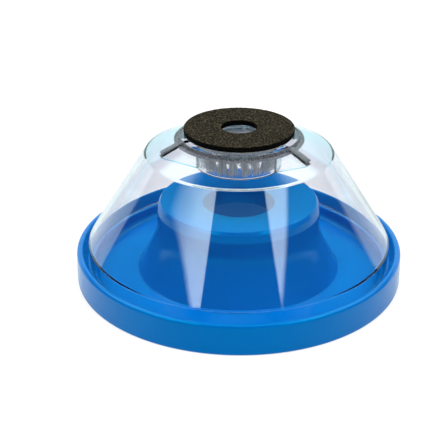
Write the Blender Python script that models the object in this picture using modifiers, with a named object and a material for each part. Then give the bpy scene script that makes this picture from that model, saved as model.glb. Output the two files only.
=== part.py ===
"""Drill dust catcher: a blue collecting tray with a hollow centre, under a clear lift-off cover.

The drill bit comes up through the hollow centre of the tray, through a ring brush in the
neck of the cover, and out through a foam ring that is pressed against the ceiling. Dust falls
inside the clear cone and collects in the ring-shaped trough of the tray.

Blender 4.5, metres, +Z up. The origin is on the axis, in the plane the tray stands on.
"""
import math

import bmesh
import bpy
from mathutils import Vector

MM = 0.001

# ---- driving dimensions, in millimetres ------------------------------------------------
TRAY_R = 55.0            # outside of the tray's rim
FOOT_R = 55.2            # outside of the tray at the ground
RIM_Z = 10.3             # crest of the tray's lip
LIP_W = 1.9              # width of the lip
FLOOR_Z = 2.3            # top of the trough's floor
WALL = 1.8               # wall of the blue moulding
SEAT_Z = 6.3             # ledge that carries the cover
SEAT_IN_R = 48.7         # inner edge of that ledge
SEAT_OUT_R = 51.4        # foot of the lead-in wall outside the ledge

HUB_R = 27.5             # hollow centre, at its widest below the crown
HUB_CREASE_R = 26.1      # outer edge of the crown
HUB_CREASE_Z = 26.8
HUB_WAIST_Z = 17.0       # below this the wall flares out
HUB_FOOT_R = 34.2        # where the flare meets the floor
HOLE_R = 12.0            # opening in the crown
HOLE_EDGE_Z = 25.4       # height of the crown at that opening
COLLAR_DEPTH = 6.5       # short tube that hangs below the opening

COVER_WALL = 1.5         # wall of the clear moulding
SKIRT_R = 50.9           # cylindrical skirt that drops into the tray
CORNER_Z = 12.8          # where the skirt turns into the cone
SHOULDER_R = 31.1        # top of the cone
SHOULDER_Z = 44.0
NECK_FOOT_R = 21.2       # where the sloping plate meets the neck
NECK_FOOT_Z = 48.4
NECK_R = 19.7            # neck under the foam
LAND_Z = 49.9            # flat top of the neck
LAND_HOLE_R = 7.2
SLEEVE_R = 14.4          # inner sleeve that holds the brush
SLEEVE_Z = 39.2          # lower end of the sleeve
RIB_W = 2.6              # three ribs between the sleeve and the plate
RIB_R = 26.4             # outer end of a rib
RIB_PROUD = 0.45         # how far a rib stands above the plate
RIB_ANGLES = (82.0, 199.0, 326.0)

FOAM_R = 18.15
FOAM_HOLE_R = 5.8
FOAM_TOP_Z = 52.4
FOAM_T = 1.7
TAPE_R = 17.4            # double-sided adhesive ring under the foam
TAPE_HOLE_R = 8.0
TAPE_T = 0.3

BRUSH_RING_R = 12.8
BRUSH_RING_HOLE_R = 8.4
BRUSH_RING_H = 2.6
OUTER_TUFTS = 20
INNER_TUFTS = 12
GAP = 0.3                # clearance between pieces that touch

STEPS = 60               # facets around the large mouldings
SMALL_STEPS = 48         # facets around the rings

# ---- colours ---------------------------------------------------------------------------
BLUE = (0.0, 0.17, 0.56, 1.0)
CLEAR = (0.86, 0.88, 0.90, 1.0)
BLACK = (0.02, 0.018, 0.014, 1.0)
TAPE_WHITE = (0.80, 0.80, 0.78, 1.0)
NYLON = (0.82, 0.84, 0.86, 1.0)


# ---- scene helpers ---------------------------------------------------------------------
def clear_scene():
    for item in list(bpy.data.objects):
        bpy.data.objects.remove(item, do_unlink=True)


def collection(name):
    found = bpy.data.collections.new(name)
    bpy.context.scene.collection.children.link(found)
    return found


def material(name, colour, roughness, transmission=0.0):
    made = bpy.data.materials.new(name)
    made.use_nodes = True
    shader = made.node_tree.nodes["Principled BSDF"]
    shader.inputs["Base Color"].default_value = colour
    shader.inputs["Roughness"].default_value = roughness
    shader.inputs["Metallic"].default_value = 0.0
    shader.inputs["Transmission Weight"].default_value = transmission
    return made


def add(mesh, name, home, look=None):
    thing = bpy.data.objects.new(name, mesh)
    home.objects.link(thing)
    if look:
        mesh.materials.append(look)
    return thing


def arc(centre, radius, start, end, count):
    """Points on an arc in the profile plane, angles in degrees from +R towards +Z."""
    points = []
    for i in range(count + 1):
        turn = math.radians(start + (end - start) * i / count)
        points.append((centre[0] + radius * math.cos(turn), centre[1] + radius * math.sin(turn)))
    return points


def turned(name, profile, home, look, steps):
    """A closed (radius, height) outline turned about Z; it runs down its outer side first."""
    mesh = bpy.data.meshes.new(name)
    verts = [(r * MM, 0.0, z * MM) for r, z in profile]
    edges = [(i, (i + 1) % len(verts)) for i in range(len(verts))]
    mesh.from_pydata(verts, edges, [])
    piece = add(mesh, name, home, look)
    screw = piece.modifiers.new("turn", "SCREW")
    screw.axis = "Z"
    screw.angle = math.tau
    screw.steps = steps
    screw.render_steps = steps
    screw.use_merge_vertices = True
    screw.merge_threshold = 0.00001
    screw.use_smooth_shade = True
    return piece


# ---- the tray --------------------------------------------------------------------------
def hub_wall(z, inset=0.0):
    """Radius of the hollow centre's wall at a height, with the flare below the waist."""
    drop = max(0.0, HUB_WAIST_Z - z) / (HUB_WAIST_Z - FLOOR_Z)
    waist = HUB_R - 0.2
    return waist + (HUB_FOOT_R - waist) * drop ** 1.25 - inset


def tray_profile():
    lip_in = TRAY_R - LIP_W
    channel_in = SEAT_IN_R + 1.2
    skirt_in = TRAY_R - WALL
    crown_under = HUB_CREASE_Z - WALL - 0.4
    collar_z = HOLE_EDGE_Z - COLLAR_DEPTH
    flare = [13.5, 10.0, 6.5, FLOOR_Z]
    outline = arc((TRAY_R - 0.95, RIM_Z - 0.95), 0.95, 90, 0, 3)
    outline += [(FOOT_R, 0.5), (FOOT_R - 0.5, 0.0)]
    outline += [(skirt_in, 0.0), (skirt_in, SEAT_Z - WALL), (channel_in, SEAT_Z - WALL), (channel_in, 0.0)]
    outline += [(hub_wall(0.0, WALL), 0.0)]
    outline += [(hub_wall(z, WALL), z) for z in (4.0, 8.0, 12.0, HUB_WAIST_Z)]
    outline += [(HUB_R - WALL, crown_under - 1.5), (HUB_R - WALL - 1.5, crown_under)]
    outline += [(HOLE_R + WALL, HOLE_EDGE_Z - WALL), (HOLE_R + WALL, collar_z), (HOLE_R, collar_z)]
    outline += [(HOLE_R, HOLE_EDGE_Z - 0.4), (HOLE_R + 0.4, HOLE_EDGE_Z)]
    outline += [(HUB_CREASE_R - 0.5, HUB_CREASE_Z - 0.1), (HUB_CREASE_R, HUB_CREASE_Z)]
    outline += [(HUB_R - 0.5, HUB_CREASE_Z - 1.5), (HUB_R - 0.05, HUB_CREASE_Z - 3.4), (HUB_R, 21.5)]
    outline += [(hub_wall(HUB_WAIST_Z), HUB_WAIST_Z)]
    outline += [(hub_wall(z), z) for z in flare]
    outline += arc((SEAT_IN_R - 2.6, FLOOR_Z + 2.0), 2.0, -90, 0, 3)
    outline += [(SEAT_IN_R - 0.3, SEAT_Z - 0.4), (SEAT_IN_R + 0.2, SEAT_Z)]
    outline += [(SEAT_OUT_R, SEAT_Z), (lip_in, RIM_Z - 0.7), (lip_in + 0.5, RIM_Z - 0.1)]
    return outline


def make_tray(home):
    blue = material("blue_polypropylene", BLUE, 0.28)
    turned("base_tray", tray_profile(), home, blue, STEPS)


# ---- the clear cover -------------------------------------------------------------------
def cone_offset(depth):
    """Cone and plate corners moved inwards by a wall thickness: (skirt corner, shoulder)."""
    cone = Vector((SKIRT_R - SHOULDER_R, CORNER_Z - SHOULDER_Z)).normalized()
    plate = Vector((SHOULDER_R - NECK_FOOT_R, SHOULDER_Z - NECK_FOOT_Z)).normalized()
    cone_in = Vector((cone.y, -cone.x)) * depth
    plate_in = Vector((plate.y, -plate.x)) * depth
    low = Vector((SKIRT_R, CORNER_Z)) + cone_in
    skirt_in_r = SKIRT_R - depth
    corner_z = low.y + cone.y / cone.x * (skirt_in_r - low.x)
    high = Vector((SHOULDER_R, SHOULDER_Z)) + plate_in
    slope_c, slope_p = cone.y / cone.x, plate.y / plate.x
    r = (high.y - slope_p * high.x - low.y + slope_c * low.x) / (slope_c - slope_p)
    return (skirt_in_r, corner_z), (r, low.y + slope_c * (r - low.x))


def plate_top(r):
    """Height of the sloping plate's upper face."""
    slope = (SHOULDER_Z - NECK_FOOT_Z) / (SHOULDER_R - NECK_FOOT_R)
    return NECK_FOOT_Z + slope * (r - NECK_FOOT_R)


def cover_profile():
    corner_in, shoulder_in = cone_offset(COVER_WALL)
    sleeve_in = SLEEVE_R - 1.3
    land_under = LAND_Z - 1.6
    cone = Vector((SKIRT_R - SHOULDER_R, CORNER_Z - SHOULDER_Z)).normalized()
    below = Vector((SHOULDER_R, SHOULDER_Z)) + cone * 0.9
    before = Vector((SHOULDER_R - 0.9, plate_top(SHOULDER_R - 0.9)))
    middle = Vector((SHOULDER_R, SHOULDER_Z)) * 0.5 + (below + before) * 0.25
    bend = Vector((SKIRT_R, CORNER_Z)) - cone * 0.6
    outline = [(LAND_HOLE_R, LAND_Z), (NECK_R - 0.3, LAND_Z), (NECK_R, LAND_Z - 0.3)]
    outline += [(NECK_R + 0.1, NECK_FOOT_Z + 0.3), (NECK_FOOT_R - 0.3, NECK_FOOT_Z + 0.2)]
    outline += [(NECK_FOOT_R, NECK_FOOT_Z)]
    outline += [tuple(before), tuple(middle), tuple(below)]
    outline += [tuple(bend), (SKIRT_R, CORNER_Z - 0.6)]
    outline += [(SKIRT_R, SEAT_Z + GAP), (SKIRT_R - COVER_WALL, SEAT_Z + GAP)]
    outline += [corner_in, shoulder_in]
    outline += [(NECK_R - COVER_WALL, plate_top(NECK_R - COVER_WALL) - COVER_WALL - 0.3)]
    outline += [(NECK_R - COVER_WALL - 0.8, land_under), (SLEEVE_R, land_under)]
    outline += [(SLEEVE_R, SLEEVE_Z), (sleeve_in, SLEEVE_Z)]
    outline += [(sleeve_in, land_under), (LAND_HOLE_R, land_under)]
    return outline


def rib_body(angle, cutters):
    """A web from the sleeve to under the plate, standing slightly proud of it."""
    start = SLEEVE_R - 0.65
    proud_start = NECK_R - 0.6
    flat = [
        (start, SLEEVE_Z + 0.5),
        (SLEEVE_R + 0.3, SLEEVE_Z + 0.5),
        (RIB_R, plate_top(RIB_R) - COVER_WALL - 0.5),
        (RIB_R, plate_top(RIB_R) + RIB_PROUD),
        (proud_start, plate_top(proud_start) + RIB_PROUD),
        (start, LAND_Z - 0.8),
    ]
    curve = bpy.data.curves.new("rib_outline", "CURVE")
    curve.dimensions = "2D"
    curve.fill_mode = "BOTH"
    curve.extrude = RIB_W * MM / 2
    spline = curve.splines.new("POLY")
    spline.points.add(len(flat) - 1)
    for point, (r, z) in zip(spline.points, flat):
        point.co = (r * MM, z * MM, 0.0, 1.0)
    spline.use_cyclic_u = True
    drawn = bpy.data.objects.new("rib_outline", curve)
    cutters.objects.link(drawn)
    drawn.rotation_euler = (math.radians(90), 0.0, math.radians(angle))
    bpy.context.view_layer.update()
    seen = drawn.evaluated_get(bpy.context.evaluated_depsgraph_get())
    mesh = bpy.data.meshes.new_from_object(seen)
    shape = bmesh.new()
    shape.from_mesh(mesh)
    bmesh.ops.remove_doubles(shape, verts=shape.verts, dist=0.000001)
    bmesh.ops.recalc_face_normals(shape, faces=shape.faces)
    shape.to_mesh(mesh)
    shape.free()
    rib = add(mesh, "rib_body_%03d" % angle, cutters)
    rib.matrix_world = drawn.matrix_world
    bpy.data.objects.remove(drawn, do_unlink=True)
    rib.hide_render = True
    rib.display_type = "WIRE"
    return rib


def make_cover(home, cutters):
    clear = material("clear_styrene", CLEAR, 0.05, transmission=1.0)
    cover = turned("clear_cover", cover_profile(), home, clear, STEPS)
    for angle in RIB_ANGLES:
        union = cover.modifiers.new("rib_%03d" % angle, "BOOLEAN")
        union.operation = "UNION"
        union.solver = "EXACT"
        union.object = rib_body(angle, cutters)


# ---- foam, tape and brush --------------------------------------------------------------
def ring_profile(outer, inner, low, high, edge):
    return [
        (inner + edge, high), (outer - edge, high), (outer, high - edge),
        (outer, low + edge), (outer - edge, low), (inner + edge, low),
        (inner, low + edge), (inner, high - edge),
    ]


def make_rings(home):
    foam = material("black_foam", BLACK, 0.95)
    tape = material("adhesive_tape", TAPE_WHITE, 0.5)
    carrier = material("brush_carrier", CLEAR, 0.35)
    foam_low = FOAM_TOP_Z - FOAM_T
    tape_low = foam_low - 0.25 - TAPE_T
    ring_high = LAND_Z - 1.6 - GAP
    turned("foam_ring", ring_profile(FOAM_R, FOAM_HOLE_R, foam_low, FOAM_TOP_Z, 0.25), home, foam,
           SMALL_STEPS)
    turned("adhesive_ring", ring_profile(TAPE_R, TAPE_HOLE_R, tape_low, tape_low + TAPE_T, 0.05),
           home, tape, SMALL_STEPS)
    turned("brush_ring",
           ring_profile(BRUSH_RING_R, BRUSH_RING_HOLE_R, ring_high - BRUSH_RING_H, ring_high, 0.3),
           home, carrier, SMALL_STEPS)
    return ring_high - BRUSH_RING_H


def tuft(name, root, tip, root_r, tip_r, home, look):
    """One bundle of bristles, as a tapered solid from its root in the ring to its tips."""
    shape = bmesh.new()
    length = (tip - root).length
    bmesh.ops.create_cone(shape, cap_ends=True, segments=8, radius1=root_r * MM, radius2=tip_r * MM,
                          depth=length * MM)
    mesh = bpy.data.meshes.new(name)
    shape.to_mesh(mesh)
    shape.free()
    bundle = add(mesh, name, home, look)
    bundle.rotation_mode = "QUATERNION"
    bundle.rotation_quaternion = (tip - root).to_track_quat("Z", "X")
    bundle.location = (root + tip) * 0.5 * MM


def make_tufts(home, ring_low):
    """Two rows: the outer row hangs along the sleeve, the inner row closes in on the bit."""
    nylon = material("nylon_bristle", NYLON, 0.4)
    rows = (
        ("outer_tuft", OUTER_TUFTS, 11.5, 11.6, SLEEVE_Z + 0.6, 0.7, 0.95),
        ("inner_tuft", INNER_TUFTS, 9.6, 4.9, SLEEVE_Z + 1.4, 0.7, 0.85),
    )
    for label, count, root_r, tip_r, tip_z, root_size, tip_size in rows:
        for i in range(count):
            turn = math.tau * (i + 0.5) / count
            out = Vector((math.cos(turn), math.sin(turn), 0.0))
            slope = 0.0 if root_r < tip_r else (root_r - tip_r) * 0.08
            root = out * root_r + Vector((0.0, 0.0, ring_low - GAP - slope))
            tip = out * tip_r + Vector((0.0, 0.0, tip_z))
            tuft("%s_%02d" % (label, i + 1), root, tip, root_size, tip_size, home, nylon)


def main():
    clear_scene()
    home = collection("drill_dust_catcher")
    cutters = collection("cutters")
    make_tray(home)
    make_cover(home, cutters)
    ring_low = make_rings(home)
    make_tufts(home, ring_low)


main()
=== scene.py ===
"""Looks of the drill dust catcher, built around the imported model.

The tray and the clear cover are turned again here with finer rounding, the foam gets its pores,
and every bundle of the ring brush becomes separate bristles. Metres, +Z up, -Y towards the viewer.
"""

import math
import random

import bmesh
import bpy
from mathutils import Matrix, Vector, noise


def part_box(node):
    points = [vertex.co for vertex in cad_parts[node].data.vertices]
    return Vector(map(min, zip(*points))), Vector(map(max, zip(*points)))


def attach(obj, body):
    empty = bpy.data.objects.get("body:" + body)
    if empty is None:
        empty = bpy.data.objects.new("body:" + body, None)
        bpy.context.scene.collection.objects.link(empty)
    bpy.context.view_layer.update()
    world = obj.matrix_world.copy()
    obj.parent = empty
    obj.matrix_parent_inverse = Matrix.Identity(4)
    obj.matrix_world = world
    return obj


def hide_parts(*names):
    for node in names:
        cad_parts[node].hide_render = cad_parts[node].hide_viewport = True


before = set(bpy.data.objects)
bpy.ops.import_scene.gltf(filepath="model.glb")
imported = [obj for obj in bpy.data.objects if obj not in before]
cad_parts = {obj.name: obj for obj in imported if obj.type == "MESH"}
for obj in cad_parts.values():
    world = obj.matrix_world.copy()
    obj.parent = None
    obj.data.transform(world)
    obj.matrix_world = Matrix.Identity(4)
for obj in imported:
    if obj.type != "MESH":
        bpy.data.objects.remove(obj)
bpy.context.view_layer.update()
MM = 0.001

# ---- sizes in millimetres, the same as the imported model's --------------------------------
TRAY_R = 55.0
FOOT_R = 55.2
RIM_Z = 10.3
LIP_W = 1.9
FLOOR_Z = 2.3
WALL = 1.8
SEAT_Z = 6.3
SEAT_IN_R = 48.7
SEAT_OUT_R = 51.4
HUB_R = 27.5
HUB_CREASE_R = 26.1
HUB_CREASE_Z = 26.8
HUB_WAIST_Z = 17.0
HUB_FOOT_R = 34.2
HOLE_R = 12.0
HOLE_EDGE_Z = 25.4
COLLAR_DEPTH = 6.5

COVER_WALL = 1.5
SKIRT_R = 50.9
SKIRT_LOW_Z = 6.6
CORNER_Z = 12.8
SHOULDER_R = 31.1
SHOULDER_Z = 44.0
NECK_FOOT_R = 21.2
NECK_FOOT_Z = 48.4
NECK_R = 19.7
LAND_Z = 49.9
LAND_HOLE_R = 7.2
SLEEVE_R = 14.4
SLEEVE_Z = 39.2
RIB_W = 2.6
RIB_R = 26.4
RIB_PROUD = 0.45
RIB_ANGLES = (82.0, 199.0, 326.0)

FOAM_HOLE_R = 5.8
TAPE_HOLE_R = 8.0
BRISTLE_R = 0.1          # radius of one bristle
BRUSH_R = 12.85          # no bristle reaches further out, so all stay inside the sleeve

TURN_STEPS = 240         # facets around the tray and the cover
LAMP_EDGE = 0.02         # soft edge of a lit panel, as a slope


# ---- mesh helpers ------------------------------------------------------------------------
def make(name, mesh, *looks):
    thing = bpy.data.objects.new(name, mesh)
    bpy.context.scene.collection.objects.link(thing)
    for look in looks:
        mesh.materials.append(look)
    return thing


def rounded(corners, steps=5):
    """A closed (radius, height) outline with each corner (r, z, rounding) turned into an arc."""
    outline = []
    count = len(corners)
    for i, (r, z, rounding) in enumerate(corners):
        here = Vector((r, z))
        back = Vector(corners[i - 1][:2]) - here
        ahead = Vector(corners[(i + 1) % count][:2]) - here
        if rounding <= 0 or back.length < 1e-6 or ahead.length < 1e-6:
            outline.append(here)
            continue
        half = back.angle(ahead) / 2
        reach = min(rounding / math.tan(half), back.length * 0.49, ahead.length * 0.49)
        radius = reach * math.tan(half)
        middle = (back.normalized() + ahead.normalized()).normalized() * (radius / math.sin(half))
        centre = here + middle
        first = here + back.normalized() * reach - centre
        last = here + ahead.normalized() * reach - centre
        for k in range(steps + 1):
            spot = first.lerp(last, k / steps)
            outline.append(centre + spot.normalized() * radius)
    return outline


def held(outline, reach=0.12):
    """The outline with a point close to both ends of each long side, to keep long faces shaded flat."""
    points = []
    for i, here in enumerate(outline):
        ahead = outline[(i + 1) % len(outline)]
        points.append(here)
        length = (ahead - here).length
        if length > 6 * reach:
            points.append(here.lerp(ahead, reach / length))
            points.append(ahead.lerp(here, reach / length))
    return points


def turned_mesh(name, outline, steps=TURN_STEPS):
    """The outline, in millimetres, turned once round Z, as one closed mesh of quads."""
    mesh = bpy.data.meshes.new(name)
    shape = bmesh.new()
    rings = []
    for k in range(steps):
        turn = math.tau * k / steps
        c, s = math.cos(turn) * MM, math.sin(turn) * MM
        rings.append([shape.verts.new((p[0] * c, p[0] * s, p[1] * MM)) for p in outline])
    size = len(outline)
    for k in range(steps):
        here, there = rings[k], rings[(k + 1) % steps]
        for i in range(size):
            j = (i + 1) % size
            shape.faces.new((here[i], here[j], there[j], there[i]))
    bmesh.ops.recalc_face_normals(shape, faces=shape.faces)
    shape.to_mesh(mesh)
    shape.free()
    smooth(mesh)
    return mesh


def smooth(mesh, angle=32):
    mesh.shade_smooth()
    mesh.set_sharp_from_angle(angle=math.radians(angle))


# ---- node helpers ------------------------------------------------------------------------
class Nodes:
    """Short calls for the nodes of one material or world."""

    def __init__(self, tree, place):
        self.tree = tree
        self.place = tree.nodes.new("ShaderNodeTexCoord").outputs[place]

    def link(self, start, end):
        self.tree.links.new(start, end)

    def noise(self, scale, detail=2.0, roughness=0.5, place=None):
        node = self.tree.nodes.new("ShaderNodeTexNoise")
        node.inputs["Scale"].default_value = scale
        node.inputs["Detail"].default_value = detail
        node.inputs["Roughness"].default_value = roughness
        self.link(place or self.place, node.inputs["Vector"])
        return node.outputs["Fac"]

    def cells(self, scale, place=None):
        node = self.tree.nodes.new("ShaderNodeTexVoronoi")
        node.inputs["Scale"].default_value = scale
        self.link(place or self.place, node.inputs["Vector"])
        return node.outputs["Distance"]

    def stretched(self, x, y, z):
        node = self.tree.nodes.new("ShaderNodeMapping")
        node.inputs["Scale"].default_value = (x, y, z)
        self.link(self.place, node.inputs["Vector"])
        return node.outputs["Vector"]

    def span(self, value, low, high, new_low, new_high):
        node = self.tree.nodes.new("ShaderNodeMapRange")
        node.inputs["From Min"].default_value = low
        node.inputs["From Max"].default_value = high
        node.inputs["To Min"].default_value = new_low
        node.inputs["To Max"].default_value = new_high
        self.link(value, node.inputs["Value"])
        return node.outputs["Result"]

    def colours(self, value, *stops):
        node = self.tree.nodes.new("ShaderNodeValToRGB")
        ramp = node.color_ramp
        while len(ramp.elements) < len(stops):
            ramp.elements.new(0.5)
        for element, (position, colour) in zip(ramp.elements, stops):
            element.position = position
            element.color = (*colour, 1.0)
        self.link(value, node.inputs["Fac"])
        return node.outputs["Color"]

    def math(self, kind, *values):
        node = self.tree.nodes.new("ShaderNodeMath")
        node.operation = kind
        for socket, value in zip(node.inputs, values):
            if isinstance(value, (int, float)):
                socket.default_value = value
            else:
                self.link(value, socket)
        return node.outputs["Value"]

    def bump(self, height, depth, strength=1.0, under=None):
        """Relief `depth` metres high where `height` runs from 0 to 1."""
        node = self.tree.nodes.new("ShaderNodeBump")
        node.inputs["Strength"].default_value = strength
        node.inputs["Distance"].default_value = depth
        self.link(height, node.inputs["Height"])
        if under:
            self.link(under, node.inputs["Normal"])
        return node.outputs["Normal"]

    def mirrored(self, behind=0.0):
        """0 for light that no surface mirrors, else 0.5, or up to 1 through the cover where `behind` is 1."""
        path = self.tree.nodes.new("ShaderNodeLightPath").outputs
        through = self.math("GREATER_THAN", path["Transmission Depth"], 0.5)
        share = self.math("MULTIPLY_ADD", self.math("MULTIPLY", through, behind), 0.5, 0.5)
        thrown_back = self.math("GREATER_THAN", path["Glossy Depth"], 0.5)
        return self.math("MULTIPLY", thrown_back, share)


class Look(Nodes):
    """A material with one Principled shader."""

    def __init__(self, name):
        self.material = bpy.data.materials.new(name)
        self.material.use_nodes = True
        super().__init__(self.material.node_tree, "Object")
        self.shader = self.tree.nodes["Principled BSDF"]
        self.output = self.tree.nodes["Material Output"]

    def set(self, **values):
        """Uniform values on the shader's own sockets, with _ for each space in a socket's name."""
        for name, value in values.items():
            self.shader.inputs[name.replace("_", " ")].default_value = value

    def light_shadow(self, through):
        """Lets that share of the light through each face, where the piece would throw a shadow."""
        path = self.tree.nodes.new("ShaderNodeLightPath")
        open_way = self.tree.nodes.new("ShaderNodeBsdfTransparent")
        open_way.inputs["Color"].default_value = (through, through, through, 1.0)
        mix = self.tree.nodes.new("ShaderNodeMixShader")
        self.link(path.outputs["Is Shadow Ray"], mix.inputs["Fac"])
        self.link(self.shader.outputs["BSDF"], mix.inputs[1])
        self.link(open_way.outputs["BSDF"], mix.inputs[2])
        self.link(mix.outputs["Shader"], self.output.inputs["Surface"])


# ---- materials ---------------------------------------------------------------------------
def blue_plastic():
    look = Look("blue_moulded_plastic")
    look.set(Metallic=0.0, IOR=1.45, Specular_IOR_Level=0.75, Specular_Tint=(0.0, 0.75, 1.0, 1.0))
    cloud = look.noise(38.0, 3.0, 0.55)
    tint = look.colours(cloud, (0.25, (0.0, 0.116, 0.440)), (0.75, (0.0, 0.132, 0.485)))
    look.link(tint, look.shader.inputs["Base Color"])
    scuffs = look.noise(420.0, 4.0, 0.7, look.stretched(1.0, 1.0, 0.12))
    smear = look.noise(60.0, 2.0, 0.5)
    scuffed = look.span(scuffs, 0.45, 0.8, 0.08, 0.17)
    smeared = look.span(smear, 0.3, 0.7, 0.0, 0.06)
    look.link(look.math("ADD", scuffed, smeared), look.shader.inputs["Roughness"])
    sink = look.noise(95.0, 1.0, 0.4)
    grain = look.noise(2600.0, 2.0, 0.6)
    normal = look.bump(sink, 0.00009, 0.6)
    look.link(look.bump(grain, 0.000004, 0.5, normal), look.shader.inputs["Normal"])
    return look.material


def clear_plastic():
    look = Look("clear_moulded_plastic")
    look.set(Metallic=0.0, IOR=1.49, Transmission_Weight=1.0, Base_Color=(0.90, 0.90, 0.91, 1.0))
    smear = look.noise(55.0, 3.0, 0.6)
    look.link(look.span(smear, 0.5, 0.8, 0.0, 0.06), look.shader.inputs["Roughness"])
    flow = look.noise(70.0, 1.5, 0.4, look.stretched(1.0, 1.0, 0.35))
    look.link(look.bump(flow, 0.00006, 0.5), look.shader.inputs["Normal"])
    look.light_shadow(0.88)
    return look.material


def frosted_plastic():
    """The finely grained faces of the neck and of the ribs."""
    look = Look("clear_plastic_grained")
    look.set(Metallic=0.0, IOR=1.49, Roughness=0.42, Transmission_Weight=0.6)
    grain = look.noise(1900.0, 3.0, 0.7)
    tint = look.colours(grain, (0.4, (0.03, 0.031, 0.037)), (0.6, (0.28, 0.286, 0.315)))
    look.link(tint, look.shader.inputs["Base Color"])
    look.link(look.bump(grain, 0.00012, 0.8), look.shader.inputs["Normal"])
    look.light_shadow(0.88)
    return look.material


def foam_look():
    look = Look("black_open_cell_foam")
    look.set(Metallic=0.0, Roughness=0.95, Specular_IOR_Level=0.06)
    pores = look.cells(1500.0)
    fine = look.noise(2300.0, 3.0, 0.7)
    fleck = look.math("MULTIPLY", look.span(pores, 0.1, 0.55, 0.0, 1.0), fine)
    tint = look.colours(
        fleck,
        (0.16, (0.003, 0.0025, 0.0015)),
        (0.44, (0.013, 0.011, 0.0065)),
        (0.7, (0.11, 0.092, 0.06)),
    )
    # Painted shade: faces that turn sideways, the foam's sides, get a near-black colour by the direction they
    # face, and only upward faces keep the flecked colour.
    normals = look.tree.nodes.new("ShaderNodeSeparateXYZ")
    look.link(look.tree.nodes.new("ShaderNodeNewGeometry").outputs["Normal"], normals.inputs["Vector"])
    side_shade_mix = look.tree.nodes.new("ShaderNodeMix")
    side_shade_mix.data_type = "RGBA"
    look.link(look.span(normals.outputs["Z"], 0.5, 0.9, 0.0, 1.0), side_shade_mix.inputs["Factor"])
    painted_shade_side, top, mixed = side_shade_mix.inputs[6], side_shade_mix.inputs[7], side_shade_mix.outputs[2]
    painted_shade_side.default_value = (0.002, 0.0018, 0.0015, 1.0)
    look.link(tint, top)
    look.link(mixed, look.shader.inputs["Base Color"])
    normal = look.bump(pores, 0.0003, 0.9)
    look.link(look.bump(fine, 0.0001, 0.6, normal), look.shader.inputs["Normal"])
    return look.material


def bristle_look():
    look = Look("nylon_bristle")
    look.set(Metallic=0.0, IOR=1.53, Transmission_Weight=0.2)
    streak = look.noise(900.0, 2.0, 0.6, look.stretched(1.0, 1.0, 0.15))
    tint = look.colours(streak, (0.3, (0.86, 0.87, 0.89)), (0.6, (1.0, 1.0, 1.0)))
    look.link(tint, look.shader.inputs["Base Color"])
    look.link(look.span(streak, 0.3, 0.7, 0.18, 0.4), look.shader.inputs["Roughness"])
    return look.material


def white_nylon():
    look = Look("white_nylon_ring")
    look.set(Metallic=0.0, IOR=1.5)
    cloud = look.noise(160.0, 3.0, 0.6)
    tint = look.colours(cloud, (0.3, (0.72, 0.73, 0.74)), (0.7, (0.83, 0.84, 0.85)))
    look.link(tint, look.shader.inputs["Base Color"])
    look.link(look.span(cloud, 0.3, 0.7, 0.3, 0.5), look.shader.inputs["Roughness"])
    look.link(look.bump(look.noise(1400.0), 0.00001, 0.5), look.shader.inputs["Normal"])
    return look.material


def tape_look():
    look = Look("clear_adhesive_tape")
    look.set(Metallic=0.0, IOR=1.47, Transmission_Weight=0.2)
    cloud = look.noise(500.0, 3.0, 0.6)
    tint = look.colours(cloud, (0.3, (0.80, 0.80, 0.78)), (0.7, (0.95, 0.95, 0.93)))
    look.link(tint, look.shader.inputs["Base Color"])
    look.link(look.span(cloud, 0.3, 0.7, 0.15, 0.4), look.shader.inputs["Roughness"])
    return look.material


# ---- the tray ----------------------------------------------------------------------------
def hub_wall(z, inset=0.0):
    """Radius of the hollow centre's wall at a height, with the flare below the waist."""
    drop = max(0.0, HUB_WAIST_Z - z) / (HUB_WAIST_Z - FLOOR_Z)
    waist = HUB_R - 0.2
    return waist + (HUB_FOOT_R - waist) * drop ** 1.25 - inset


def hub_side(z):
    """The wall's radius averaged over a few millimetres of height, for a soft start of the flare."""
    reach = min(3.0, z - FLOOR_Z)
    return sum(hub_wall(z + reach * k / 6) for k in range(-6, 7)) / 13


def tray_outline():
    lip_in = TRAY_R - LIP_W
    channel_in = SEAT_IN_R + 1.2
    skirt_in = TRAY_R - WALL
    crown_under = HUB_CREASE_Z - WALL - 0.4
    collar_z = HOLE_EDGE_Z - COLLAR_DEPTH
    side_top = HUB_CREASE_Z - 4.6
    flare = [side_top * (1 - k / 30) + FLOOR_Z * k / 30 for k in range(30)]
    inner_flare = [HUB_WAIST_Z * k / 10 for k in range(1, 11)]
    corners = [(TRAY_R, RIM_Z, 1.15), (FOOT_R, 0.0, 0.5), (skirt_in, 0.0, 0.3)]
    corners += [(skirt_in, SEAT_Z - WALL, 0.5), (channel_in, SEAT_Z - WALL, 0.5), (channel_in, 0.0, 0.3)]
    corners += [(hub_wall(0.0, WALL), 0.0, 0.3)]
    corners += [(hub_wall(z, WALL), z, 0.0) for z in inner_flare]
    corners += [(HUB_R - WALL, crown_under, 1.4)]
    corners += [(HOLE_R + WALL, HOLE_EDGE_Z - WALL, 0.5), (HOLE_R + WALL, collar_z, 0.3)]
    corners += [(HOLE_R, collar_z, 0.3), (HOLE_R, HOLE_EDGE_Z, 0.35)]
    corners += [(HUB_CREASE_R, HUB_CREASE_Z, 0.3)]
    corners += [(HUB_CREASE_R + 0.75, HUB_CREASE_Z - 1.2, 1.5)]
    corners += [(hub_side(side_top) + 0.05, side_top + 1.2, 3.0)]
    corners += [(hub_side(z), z, 0.0) for z in flare]
    corners += [(HUB_FOOT_R, FLOOR_Z, 0.5), (SEAT_IN_R - 0.6, FLOOR_Z, 2.0)]
    corners += [(SEAT_IN_R, SEAT_Z, 0.35), (SEAT_OUT_R, SEAT_Z, 0.4), (lip_in, RIM_Z, 0.75)]
    return rounded(corners)


def make_tray(blue):
    tray = make("tray_moulding", turned_mesh("tray_moulding", held(tray_outline())), blue)
    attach(tray, "tray")
    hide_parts("base_tray")


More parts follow.
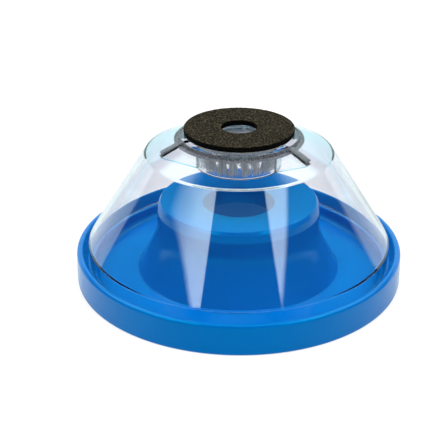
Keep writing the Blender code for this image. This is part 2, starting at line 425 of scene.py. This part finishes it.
# ---- the clear cover ---------------------------------------------------------------------
def plate_top(r):
    """Height of the sloping plate's upper face."""
    slope = (SHOULDER_Z - NECK_FOOT_Z) / (SHOULDER_R - NECK_FOOT_R)
    return NECK_FOOT_Z + slope * (r - NECK_FOOT_R)


def inner_corners(depth):
    """The cone's two inner corners, a wall thickness inside the outer ones."""
    cone = Vector((SKIRT_R - SHOULDER_R, CORNER_Z - SHOULDER_Z)).normalized()
    plate = Vector((SHOULDER_R - NECK_FOOT_R, SHOULDER_Z - NECK_FOOT_Z)).normalized()
    low = Vector((SKIRT_R, CORNER_Z)) + Vector((cone.y, -cone.x)) * depth
    high = Vector((SHOULDER_R, SHOULDER_Z)) + Vector((plate.y, -plate.x)) * depth
    cone_slope, plate_slope = cone.y / cone.x, plate.y / plate.x
    skirt = SKIRT_R - depth
    r = (high.y - plate_slope * high.x - low.y + cone_slope * low.x) / (cone_slope - plate_slope)
    return (skirt, low.y + cone_slope * (skirt - low.x)), (r, low.y + cone_slope * (r - low.x))


def cover_outline():
    corner_in, shoulder_in = inner_corners(COVER_WALL)
    sleeve_in = SLEEVE_R - 1.3
    land_under = LAND_Z - 1.6
    under_r = NECK_R - COVER_WALL
    corners = [(LAND_HOLE_R, LAND_Z, 0.2), (NECK_R, LAND_Z, 0.25)]
    corners += [(NECK_R + 0.15, NECK_FOOT_Z + 0.15, 0.25), (NECK_FOOT_R, NECK_FOOT_Z + 0.1, 0.2)]
    corners += [(SHOULDER_R, SHOULDER_Z, 1.3), (SKIRT_R, CORNER_Z, 0.8)]
    corners += [(SKIRT_R, SKIRT_LOW_Z, 0.25), (SKIRT_R - COVER_WALL, SKIRT_LOW_Z, 0.25)]
    corners += [(*corner_in, 0.5), (*shoulder_in, 0.6)]
    corners += [(under_r, plate_top(under_r) - COVER_WALL - 0.3, 0.3), (under_r - 0.8, land_under, 0.3)]
    corners += [(SLEEVE_R, land_under, 0.4), (SLEEVE_R, SLEEVE_Z, 0.3), (sleeve_in, SLEEVE_Z, 0.3)]
    corners += [(sleeve_in, land_under, 0.3), (LAND_HOLE_R, land_under, 0.2)]
    return rounded(corners)


def webs(name, flat, width, looks):
    """The flat (radius, height) outline as three upright plates, one at each rib's angle."""
    shape = bmesh.new()
    for angle in RIB_ANGLES:
        turn = Matrix.Rotation(math.radians(angle), 3, "Z") * MM
        near = [shape.verts.new(turn @ Vector((r, -width / 2, z))) for r, z in flat]
        far = [shape.verts.new(turn @ Vector((r, width / 2, z))) for r, z in flat]
        shape.faces.new(near)
        shape.faces.new(list(reversed(far)))
        for i in range(len(flat)):
            j = (i + 1) % len(flat)
            shape.faces.new((near[j], near[i], far[i], far[j]))
    bmesh.ops.recalc_face_normals(shape, faces=shape.faces)
    mesh = bpy.data.meshes.new(name)
    shape.to_mesh(mesh)
    shape.free()
    return make(name, mesh, *looks)


def join(cover, part):
    """Unites the part with the cover's mesh and removes the part."""
    union = cover.modifiers.new("union", "BOOLEAN")
    union.operation = "UNION"
    union.solver = "EXACT"
    union.object = part
    bpy.context.view_layer.update()
    seen = cover.evaluated_get(bpy.context.evaluated_depsgraph_get())
    cover.data = bpy.data.meshes.new_from_object(seen)
    cover.modifiers.clear()
    bpy.data.objects.remove(part, do_unlink=True)


def on_neck(face):
    """Whether a face is one of the grained ones on the outside of the neck."""
    r = math.hypot(face.center.x, face.center.y) / MM
    high_up = face.center.z > (NECK_FOOT_Z - 0.2) * MM
    return NECK_R - 2.8 < r < NECK_FOOT_R + 0.1 and high_up and face.normal.z > -0.3


def make_cover(clear, grained):
    cover = make("cover_moulding", turned_mesh("cover_moulding", held(cover_outline())), clear, grained)
    for face in cover.data.polygons:
        face.material_index = 1 if on_neck(face) else 0
    root, deep = NECK_R - 0.6, COVER_WALL + 0.25
    web = [
        (SLEEVE_R - 0.65, SLEEVE_Z + 0.5),
        (SLEEVE_R + 0.3, SLEEVE_Z + 0.5),
        (RIB_R - 0.3, plate_top(RIB_R) - COVER_WALL - 0.5),
        (RIB_R - 0.3, plate_top(RIB_R) - 0.4),
        (root, plate_top(root) - 0.4),
        (SLEEVE_R - 0.65, LAND_Z - 0.8),
    ]
    bar = [
        (root, plate_top(root) - deep),
        (RIB_R, plate_top(RIB_R) - deep),
        (RIB_R, plate_top(RIB_R) + RIB_PROUD),
        (root, plate_top(root) + RIB_PROUD),
    ]
    join(cover, webs("webs", web, RIB_W - 0.5, (clear, grained)))
    bars = webs("bars", bar, RIB_W, (clear, grained))
    for face in bars.data.polygons:
        face.material_index = 1
    join(cover, bars)
    smooth(cover.data)
    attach(cover, "cover")
    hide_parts("clear_cover")


# ---- foam, tape, brush -------------------------------------------------------------------
def make_foam(black):
    low, high = (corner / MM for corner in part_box("foam_ring"))
    foot = low.z - 0.2
    corners = [(FOAM_HOLE_R, high.z, 0.3), (high.x, high.z, 0.35)]
    corners += [(high.x, foot, 0.25), (FOAM_HOLE_R, foot, 0.25)]
    outline = []
    rough = rounded(corners, 3)
    for i, point in enumerate(rough):
        ahead = rough[(i + 1) % len(rough)]
        parts = max(1, round((ahead - point).length / 0.35))
        outline += [point.lerp(ahead, k / parts) for k in range(parts)]
    mesh = turned_mesh("foam", outline, 320)
    moved = []
    for vert in mesh.vertices:  # a slightly uneven skin, within 0.15 mm of the outline
        spot = vert.co / MM
        lump = noise.noise(spot * 0.9) * 0.05 + noise.noise(spot * 2.6) * 0.05
        moved.append(vert.co - vert.normal * MM * (0.05 - lump))
    for vert, place in zip(mesh.vertices, moved):
        vert.co = place
    foam = make("foam_seal", mesh, black)
    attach(foam, "cover")
    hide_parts("foam_ring")


def make_tape(tape_material):
    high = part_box("adhesive_ring")[1] / MM
    foot, top = LAND_Z + 0.02, high.z + 0.2
    corners = [(TAPE_HOLE_R, top, 0.05), (high.x, top, 0.05), (high.x, foot, 0.05), (TAPE_HOLE_R, foot, 0.05)]
    tape = make("tape_ring", turned_mesh("tape_ring", rounded(corners, 2), 160), tape_material)
    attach(tape, "cover")
    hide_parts("adhesive_ring")


def tuft_line(node):
    """Root and tip of one bundle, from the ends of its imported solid."""
    spots = [v.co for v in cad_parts[node].data.vertices]
    top = max(s.z for s in spots)
    low = min(s.z for s in spots)
    middle = (top + low) / 2
    root = [s for s in spots if s.z > middle]
    tip = [s for s in spots if s.z <= middle]
    return sum(root, Vector()) / len(root), sum(tip, Vector()) / len(tip)


def bristle(shape, points, radius):
    """A thin four-sided filament through the points."""
    rings = []
    for i, point in enumerate(points):
        ahead = (points[min(i + 1, len(points) - 1)] - points[max(i - 1, 0)]).normalized()
        side = ahead.orthogonal().normalized()
        other = ahead.cross(side)
        ring = []
        for k in range(4):
            turn = math.tau * k / 4
            ring.append(shape.verts.new(point + (side * math.cos(turn) + other * math.sin(turn)) * radius))
        rings.append(ring)
    for here, there in zip(rings, rings[1:]):
        for k in range(4):
            j = (k + 1) % 4
            shape.faces.new((here[k], here[j], there[j], there[k]))
    shape.faces.new(list(reversed(rings[0])))
    shape.faces.new(rings[-1])


def tuft_bristle(rng, root, tip, spread):
    """Points along one bristle of a bundle, which widens to the given spread in millimetres at its tip."""
    turn, reach = rng.uniform(0, math.tau), math.sqrt(rng.random())
    across = Vector((math.cos(turn), math.sin(turn), 0.0))
    start = root + across * reach * 0.6 * MM
    end = tip + across * reach * spread * MM + Vector((0, 0, rng.uniform(-0.3, 0.7) * MM))
    end += Vector((rng.gauss(0, 1), rng.gauss(0, 1), 0.0)) * 0.35 * MM
    flat = Vector((end.x, end.y, 0.0))
    if flat.length > BRUSH_R * MM:
        end -= flat.normalized() * (flat.length - BRUSH_R * MM)
    bow = Vector((rng.gauss(0, 1), rng.gauss(0, 1), 0.0)) * 0.25 * MM
    return [start.lerp(end, t) + bow * math.sin(math.pi * t) for t in (0.0, 0.25, 0.5, 0.75, 1.0)]


def make_tufts(nylon):
    rng = random.Random(7)
    for node in sorted(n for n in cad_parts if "tuft" in n):
        root, tip = tuft_line(node)
        count, spread = (58, 1.7) if node.startswith("outer") else (46, 1.0)
        shape = bmesh.new()
        for _ in range(count):
            bristle(shape, tuft_bristle(rng, root, tip, spread), BRISTLE_R * MM)
        mesh = bpy.data.meshes.new(node + "_bristles")
        bmesh.ops.recalc_face_normals(shape, faces=shape.faces)
        shape.to_mesh(mesh)
        shape.free()
        mesh.shade_smooth()
        bundle = make(node + "_bristles", mesh, nylon)
        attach(bundle, "cover")
        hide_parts(node)


def dress_brush_ring(look):
    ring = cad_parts["brush_ring"]
    ring.data.materials.clear()
    ring.data.materials.append(look)


# ---- camera, floor and light -------------------------------------------------------------
def make_camera():
    """Looks along +Y and down by 25.3 degrees, from 6.5 tray radii."""
    radius = TRAY_R * MM
    tilt = math.radians(25.28)
    data = bpy.data.cameras.new("camera")
    data.lens = 85.24
    data.sensor_width = 36.0
    data.clip_start = 0.01
    data.clip_end = 50.0
    camera = bpy.data.objects.new("camera", data)
    bpy.context.scene.collection.objects.link(camera)
    middle = Vector((0.0, 0.0, 0.45)) * radius
    camera.location = middle + Vector((0, -math.cos(tilt), math.sin(tilt))) * 6.5 * radius
    aim = Vector((-0.090, 0.0, 0.307)) * radius
    camera.rotation_mode = "QUATERNION"
    camera.rotation_quaternion = (aim - camera.location).to_track_quat("-Z", "Y")
    bpy.context.scene.camera = camera


def make_floor():
    shape = bmesh.new()
    bmesh.ops.create_circle(shape, cap_ends=True, segments=64, radius=6.0)
    mesh = bpy.data.meshes.new("floor")
    shape.to_mesh(mesh)
    shape.free()
    look = Look("pale_floor")
    look.set(Roughness=0.9, Emission_Strength=0.67, Specular_IOR_Level=0.1)
    tint = look.colours(look.noise(9.0), (0.3, (0.33, 0.33, 0.33)), (0.7, (0.36, 0.36, 0.36)))
    look.link(tint, look.shader.inputs["Base Color"])
    glow = look.colours(look.mirrored(), (0.0, (1.0, 1.0, 1.0)), (0.5, (0.76, 0.78, 0.82)))
    look.link(glow, look.shader.inputs["Emission Color"])
    floor = make("floor", mesh, look.material)
    floor.location.z = -0.0001


def window(nodes, value, low, high, fade=0.0):
    """1 where the value lies between low and high, with soft edges and a rise as wide as `fade`."""
    rise = nodes.span(value, low - LAMP_EDGE / 2, low + LAMP_EDGE / 2 + fade, 0.0, 1.0)
    fall = nodes.span(value, high - LAMP_EDGE / 2, high + LAMP_EDGE / 2, 1.0, 0.0)
    return nodes.math("MULTIPLY", rise, fall)


def panel(nodes, ahead, across, upward, sides, ends, radiance, fade=0.0):
    """A lit rectangle on the plane one unit ahead, between two values across and two upward.

    Its low side fades out over the given width.
    """
    depth = nodes.math("MAXIMUM", ahead, 0.0001)
    shape = nodes.math(
        "MULTIPLY",
        window(nodes, nodes.math("DIVIDE", across, depth), *sides, fade),
        window(nodes, nodes.math("DIVIDE", upward, depth), *ends),
    )
    return nodes.math("MULTIPLY", shape, radiance)


def turned(nodes, x, y, azimuth):
    """Amounts ahead and across for somebody who faces that azimuth, which grows from -Y towards +X."""
    c, s = math.cos(math.radians(azimuth)), math.sin(math.radians(azimuth))
    mul, add = "MULTIPLY", "ADD"
    ahead = nodes.math(add, nodes.math(mul, x, s), nodes.math(mul, y, -c))
    across = nodes.math(add, nodes.math(mul, x, c), nodes.math(mul, y, s))
    return ahead, across


def sky(nodes, x, z, toward, radiance):
    """The upper half behind the object, without the patch that the sloping plate mirrors to the viewer."""
    high = nodes.span(z, 0.58, 0.66, 0.0, 1.0)
    back = nodes.span(toward, 0.0, 0.2, radiance, 0.0)
    beside = nodes.span(nodes.math("ABSOLUTE", x), 0.34, 0.44, 0.0, 1.0)
    below = nodes.span(z, 0.82, 0.87, 1.0, 0.0)
    return nodes.math("MULTIPLY", nodes.math("MULTIPLY", high, back), nodes.math("MAXIMUM", beside, below))


def make_light():
    """A dim studio: an upright softbox on each side of the viewer, a panel and a sky above, a wall behind."""
    world = bpy.data.worlds.new("studio")
    bpy.context.scene.world = world
    world.use_nodes = True
    nodes = Nodes(world.node_tree, "Generated")
    split = nodes.tree.nodes.new("ShaderNodeSeparateXYZ")
    nodes.link(nodes.place, split.inputs["Vector"])
    x, y, z = split.outputs
    toward = nodes.math("MULTIPLY", y, -1.0)
    lamps = [
        panel(nodes, *turned(nodes, x, y, -40.0), z, (-0.78, 0.200), (0.605, 1.15), 5.6, 0.75),
        panel(nodes, *turned(nodes, x, y, 50.0), z, (-0.300, 0.36), (0.638, 1.15), 5.4),
        panel(nodes, z, x, toward, (-0.75, 0.75), (-0.06, 0.22), 7.0),
        panel(nodes, y, x, z, (-1.96, 1.96), (-9.0, 0.62), 1.15),
        sky(nodes, x, z, toward, 2.4),
    ]
    level = 0.05
    for light in lamps:
        level = nodes.math("ADD", level, light)
    seen = nodes.tree.nodes.new("ShaderNodeLightPath").outputs["Is Camera Ray"]
    level = nodes.math("MAXIMUM", level, nodes.math("MULTIPLY", seen, 1.1))
    behind = nodes.span(toward, -0.75, -0.6, 1.0, 0.0)
    tint = nodes.colours(
        nodes.mirrored(behind),
        (0.0, (1.0, 1.0, 0.98)),
        (0.5, (0.80, 0.96, 0.97)),
        (1.0, (0.10, 0.80, 0.95)),
    )
    back = nodes.tree.nodes["Background"]
    nodes.link(tint, back.inputs["Color"])
    nodes.link(level, back.inputs["Strength"])


def main():
    make_camera()
    make_floor()
    make_light()
    make_tray(blue_plastic())
    make_cover(clear_plastic(), frosted_plastic())
    make_foam(foam_look())
    make_tape(tape_look())
    dress_brush_ring(white_nylon())
    make_tufts(bristle_look())
    bpy.context.scene.view_settings.view_transform = "Standard"


main()
